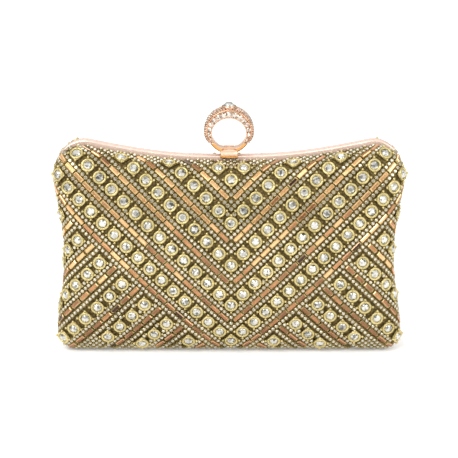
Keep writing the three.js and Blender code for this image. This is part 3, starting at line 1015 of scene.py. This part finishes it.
def ring_body(steps=140):
    """The ring's metal. Where it carries stones its crown and faces are sunk, to seat them. At the foot its
    front is cut back, and the apron takes over."""
    rows = []
    for i in range(steps):
        turn = 2 * math.pi * i / steps
        half = ring_half_width(turn)
        sunk = eased((RING_STONES_TO + 0.1 - from_top(turn)) / 0.1)
        foot = eased((from_top(turn) - math.radians(157)) / math.radians(5))
        seat = half - 0.8 * sunk
        low, mid = on_ring(RING_BORE, turn, 0), on_ring(RING_EDGE, turn, 0)

        def across(share, y):
            point = low + (mid - low) * share
            return np.array([point[0], y, point[2]])

        face = [(-0.02, half - 0.5), (0.02, half - 0.12), (0.1, half), (0.14, half)]
        face += [(0.16, seat), (0.9, seat), (0.92, half), (1, half)]
        row = [across(share, y) for share, y in face]
        for a in (0.94, 0.8, 0.55, 0.28, 0, -0.28, -0.55, -0.8, -0.94):
            height = math.sqrt(1 - a * a)
            crown = on_ring(RING_CROWN, turn, a * half, -0.9 * sunk)
            row.append(on_ring(RING_EDGE, turn, a * half) * (1 - height) + crown * height)
        row = np.array(row + [across(share, -y) for share, y in face[::-1]])
        row[:, 1] = np.maximum(row[:, 1], -half + 1.6 * foot)
        rows.append(row)
    points = np.array(rows).reshape(-1, 3)
    points[:, 2] = np.maximum(points[:, 2], RING_FOOT)
    return points, strip_faces(steps, len(rows[0]), ring=True)


def ring_axes(turn, lean):
    """Axes round the ring, across it, and out of it, which lean towards +Y."""
    x = np.array([math.cos(turn), 0, -math.sin(turn)])
    z = np.array([math.sin(turn) * math.cos(lean), math.sin(lean), math.cos(turn) * math.cos(lean)])
    return np.array([x, np.cross(z, x), z])


def ring_places():
    """Places of the ring's stones: rows over its crown, and one row on each face."""
    crown, faces = [], []
    for n, a in enumerate(CROWN_ROWS):
        height = math.sqrt(1 - a * a)
        lean = math.asin(a) * 0.6
        steps = int(RING_STONES_TO * RING_CROWN[1] / CROWN_PITCH)
        for i in range(-steps, steps + 1):
            turn = (i + 0.5 * (n % 2)) * CROWN_PITCH / RING_CROWN[1]
            y = a * ring_half_width(turn)
            seat = on_ring(RING_EDGE, turn, y) * (1 - height) + on_ring(RING_CROWN, turn, y, -0.95) * height
            if abs(turn) > RING_STONES_TO or (seat[2] > 130 and math.hypot(seat[0], seat[1]) < 4.6):
                continue
            crown.append((seat, ring_axes(turn, lean)))
    for side in (-1, 1):
        for i in range(FACE_STONES):
            turn = RING_STONES_TO * (2 * (i + 0.5) / FACE_STONES - 1)
            y = side * (ring_half_width(turn) - 0.8)
            bore, edge = on_ring(RING_BORE, turn, y), on_ring(RING_EDGE, turn, y)
            size = np.array([[0.4], [0.4], [0.0]]) * np.linalg.norm(edge - bore) + [[0], [0], [1]]
            faces.append(((bore + edge) / 2, ring_axes(turn, side * math.pi / 2) * size))
    return crown, faces


def ring_wire(side, steps=90, sides=8):
    """A round wire along the upper edge of one face of the ring, drawn out thin at its ends."""
    rows = []
    for i in range(steps + 1):
        share = 2 * i / steps - 1
        turn = WIRE_TO * share
        thick = 0.08 + 0.4 * math.sqrt(1 - abs(share) ** 3)
        centre = on_ring(RING_EDGE, turn, side * (ring_half_width(turn) - 0.1))
        out = ring_axes(turn, 0)[2]
        rows += [centre + a * out + [0, b, 0] for a, b, _ in circle(thick, 0, sides, 0)]
    faces = strip_faces(steps + 1, sides)
    faces += [tuple(range(sides)), tuple(range(len(rows) - 1, len(rows) - 1 - sides, -1))]
    return rows, faces


def sheet_solid(front, back):
    """A closed sheet from two grids of points, rows by columns, that face each other."""
    rows, columns = front.shape[:2]
    offset = rows * columns
    faces = strip_faces(rows, columns, closed=False)
    faces += [(offset + a, offset + d, offset + c, offset + b) for a, b, c, d in faces]
    at = np.arange(offset).reshape(rows, columns)
    rim = np.concatenate([at[0], at[1:, -1], at[-1, -2::-1], at[-2:0:-1, 0]]).tolist()
    faces += [(a, offset + a, offset + b, b) for a, b in zip(rim, rim[1:] + rim[:1])]
    return np.concatenate([front.reshape(-1, 3), back.reshape(-1, 3)]), faces


def folded_sheet(rows, columns, point, *layers):
    """A closed sheet with two layers, each a grid of point(up, share, layer). up runs from 0 to 1, and share
    from -1 to 1 along a row."""
    ups, shares = np.arange(rows) / (rows - 1), 2 * np.arange(columns) / (columns - 1) - 1
    return sheet_solid(*(np.array([[point(u, s, layer) for s in shares] for u in ups]) for layer in layers))


def apron():
    """The foot of the ring, which runs down over the front of the frame to the lip. Its sides turn up."""
    top, under = [], []
    for i, (y, z) in enumerate(APRON):
        run = i / (len(APRON) - 1)
        shares = np.linspace(-1, 1, 17)
        rise = 0.7 * np.abs(shares) ** 5 * (1 - run)
        x = shares * APRON_HALF_WIDTH
        top.append(np.stack([x, np.full(17, y), z + rise], axis=1))
        under.append(np.stack([x, np.full(17, y + 0.35 * run), z + rise - 0.5 * (1 - 0.5 * run)], axis=1))
    return sheet_solid(np.array(top), np.array(under))


def ring_part(name, part, material, replaces=(), crease=None, width=0.0):
    piece = solid(name, part, material, "clasp", replaces, crease)
    if width:
        rounded(piece, width)
    return piece


def ring_metal():
    """The ring's body. Its inside takes a lighter, less metallic copy of its gold, a painted highlight, and
    its sides below the stones take the darker orange plate, a painted shade.
    """
    band = ring_part("ring_body", ring_body(), [RING_GOLD, ORANGE_GOLD_AND_RING_SHADE, RING_HIGHLIGHT_GOLD], ["finger_ring"], 35)
    for face in band.data.polygons:
        out = face.center - Vector((0, 0, RING_BORE[0] * MM))
        sideways = Vector((0, face.center[1], 0))
        if face.normal.dot(out - sideways) < -0.6 * (out - sideways).length:
            # Inward faces: the lighter copy of the gold, a painted highlight.
            face.material_index = 2
        elif abs(face.normal[1]) > 0.5 and abs(math.atan2(out[0], out[2])) > RING_STONES_TO + 0.05:
            # Sides below the stones: the darker orange plate, a painted shade.
            face.material_index = 1


def ring_foot():
    """The apron and the lip in front, and behind them the lever with its eye round the clasp's pin."""
    # The apron takes the lighter copy of the ring gold, a painted highlight.
    ring_part("ring_apron", apron(), RING_HIGHLIGHT_GOLD, (), 50)
    near, far, low, high = LIP
    lip = block((-APRON_HALF_WIDTH - 0.1, APRON_HALF_WIDTH + 0.1), (near, far), (low, high))
    ring_part("ring_lip", lip, ORANGE_GOLD_AND_RING_SHADE, width=0.3)
    ring_part("ring_lever", block(*LEVER), RING_GOLD, ["clasp_lever"], width=0.2)
    arm = LEVER_ARM_X
    bar = block((-arm, arm), (LEVER_ARM_Y, CLASP_AXIS[0]), LEVER[2])
    ring_part("ring_lever_arm", bar, RING_GOLD, width=0.2)
    eye = [(0, -arm), (1.25, -arm), (1.35, 0.1 - arm), (1.35, arm - 0.1), (1.25, arm), (0, arm)]
    points, faces = turned(eye, 24)
    eye = moved((np.array(points)[:, [2, 0, 1]], faces), (0, *CLASP_AXIS))
    ring_part("ring_lever_eye", eye, RING_GOLD, (), 40)


def ring_stones():
    """The small stones of the ring in their claws: over its crown, and round both faces."""
    crown, faces = ring_places()
    chip, cup = brilliant(0.98, 0.55, 1.15, 1.65), small_claw()

    def lay(name, part, size, height, places, material, smooth):
        scatter(f"ring_{name}", scaled(part, size, height), places, material, "clasp", smooth)

    lay("crown_claws", cup, 0.57, 0.6, crown, RING_GOLD, True)
    lay("crown_stones", chip, 0.6, 0.65, crown, RING_CRYSTAL, False)
    lay("face_claws", cup, 1.0, 0.62, faces, RING_GOLD, True)
    lay("face_stones", chip, 1.0, 0.68, faces, RING_CRYSTAL, False)


def ring_top():
    """The bezel and the centre stone."""
    profile = [(0, 0), (3.3, 0), (4.3, 0.5), (4.35, 1.3), (4.15, 1.9), (3.85, 2.15), (3.55, 2.1), (3.4, 1.7)]
    rim = moved(turned([*profile, (3.3, 1.0), (0, 0.9)], 48), (0, 0, BEZEL_Z))
    solid("ring_bezel", rim, RING_GOLD, "clasp", ["centre_bezel"], 50)
    stone = moved(brilliant(3.4, 1.9, 1.7, 3.75, 12), (0, 0, BEZEL_Z))
    solid("ring_centre_stone", stone, CRYSTAL, "clasp", ["centre_stone"], smooth=False)


def finger_ring():
    ring_metal()
    ring_foot()
    ring_stones()
    for side, name in ((-1, "front"), (1, "rear")):
        ring_part(f"ring_wire_{name}", ring_wire(side), RING_GOLD)
    ring_top()


# -------- lining, pocket and gussets


def puckered(rings, gather):
    """The lining's rings with small gathers that fade away from the rim."""
    phase = np.cumsum(np.random.default_rng(GATHER_SEED).uniform(0.5, 1.5, rings.shape[1]))
    wave = np.sin(phase * 2.1) * 0.5 + np.sin(phase * 0.7) * 0.5
    fade = np.exp(-(((np.arange(len(rings)) - 5) / 6.0) ** 2))
    inward = (np.array([0, 0, CENTRE_Z]) - rings) * [1, 0, 1]
    inward /= np.maximum(np.linalg.norm(inward, axis=-1, keepdims=True), 1e-6)
    return rings + inward * (fade[:, None] * wave * gather)[..., None]


def lining(half):
    """Satin stuck to the inside of a shell, a little gathered at the rim."""
    part = on_half(half, dish(LINING, LINING_GATHER))
    piece = solid(f"{half}_satin_lining", part, SATIN, f"{half}_half", [f"{half}_lining"])


def slip_pocket():
    """A flat pocket on the back lining, a little open along its hemmed top edge."""
    surface = CrownedSurface(POCKET_DEPTH)
    half_width, low, high = POCKET

    def point(up, share, layer):
        place, axes = surface.place(share * half_width, low + (high - low) * up, 0.0)
        bulge = 1.6 * up**3 * (1 - share**2) + (0.35 if up > 0.93 else 0)
        return half_turn(place - axes[2] * (bulge * layer[0] + layer[1]))

    part = folded_sheet(25, 41, point, (1.0, 0.5), (0.9, 0.0))
    piece = solid("satin_pocket", part, SATIN, "rear_half", ["slip_pocket"], 60)


def between_halves(name, part, replaces=()):
    """A satin piece that spans the gap from the rear half to the front half. It rides on neither half."""
    piece = solid(name, part, SATIN, None, replaces)
    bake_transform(piece)
    return piece


def gusset(side):
    """Satin in a W fold between the halves, deeper towards the top."""

    def point(up, share, offset):
        deep = GUSSET_FOLD[0] + (GUSSET_FOLD[1] - GUSSET_FOLD[0]) * up
        fold = 0.5 - 0.5 * math.cos(2 * math.pi * (share + 1))
        x = GUSSET_X - deep * fold * (1 - 0.12 * math.sin(up * 9 + share * 3))
        z = GUSSET_Z[0] + (GUSSET_Z[1] - GUSSET_Z[0]) * up
        return side * (x + offset), -share * GUSSET_HALF_Y, z

    hand = "left" if side < 0 else "right"
    part = folded_sheet(40, 33, point, -SATIN_THICK / 2, SATIN_THICK / 2)
    piece = between_halves(f"satin_gusset_{hand}", part, [f"gusset_{hand}"])


def hinge_strip():
    """A pleat of satin over the slot between the frames along the base, which the hinges open."""
    half_x, half_y, low, pleat = STRIP

    def point(up, share, lift):
        x = half_x * (2 * up - 1)
        wave = 1 + 0.06 * math.sin(x * 0.9 + share)
        z = low + pleat * wave * (0.5 + 0.5 * math.cos(math.pi * share))
        return x, -share * half_y, z + lift

    part = folded_sheet(81, 21, point, STRIP_THICK, 0.0)
    piece = between_halves("satin_hinge_strip", part)


# -------- hardware


def hardware():
    """Hinges, rivets and clasp, from the CAD nodes with their edges rounded."""
    for node, thing in frame["nodes"].items():
        if thing.hide_render:
            continue
        body, fine = thing["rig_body"], "spring" in node or "rivet" in node
        material = RING_GOLD if body == "clasp" or "clasp" in node else ORANGE_GOLD_AND_RING_SHADE
        softened(node, STEEL if "spring" in node else material, body, 0.08 if fine else 0.15)


trim = lay_trim(CrownedSurface(BACKING[0]))
for half in HALVES:
    cover(half, trim)
for half in HALVES:
    frame_half(half)
finger_ring()
for half in HALVES:
    lining(half)
slip_pocket()
gusset(-1)
gusset(1)
hinge_strip()
hardware()
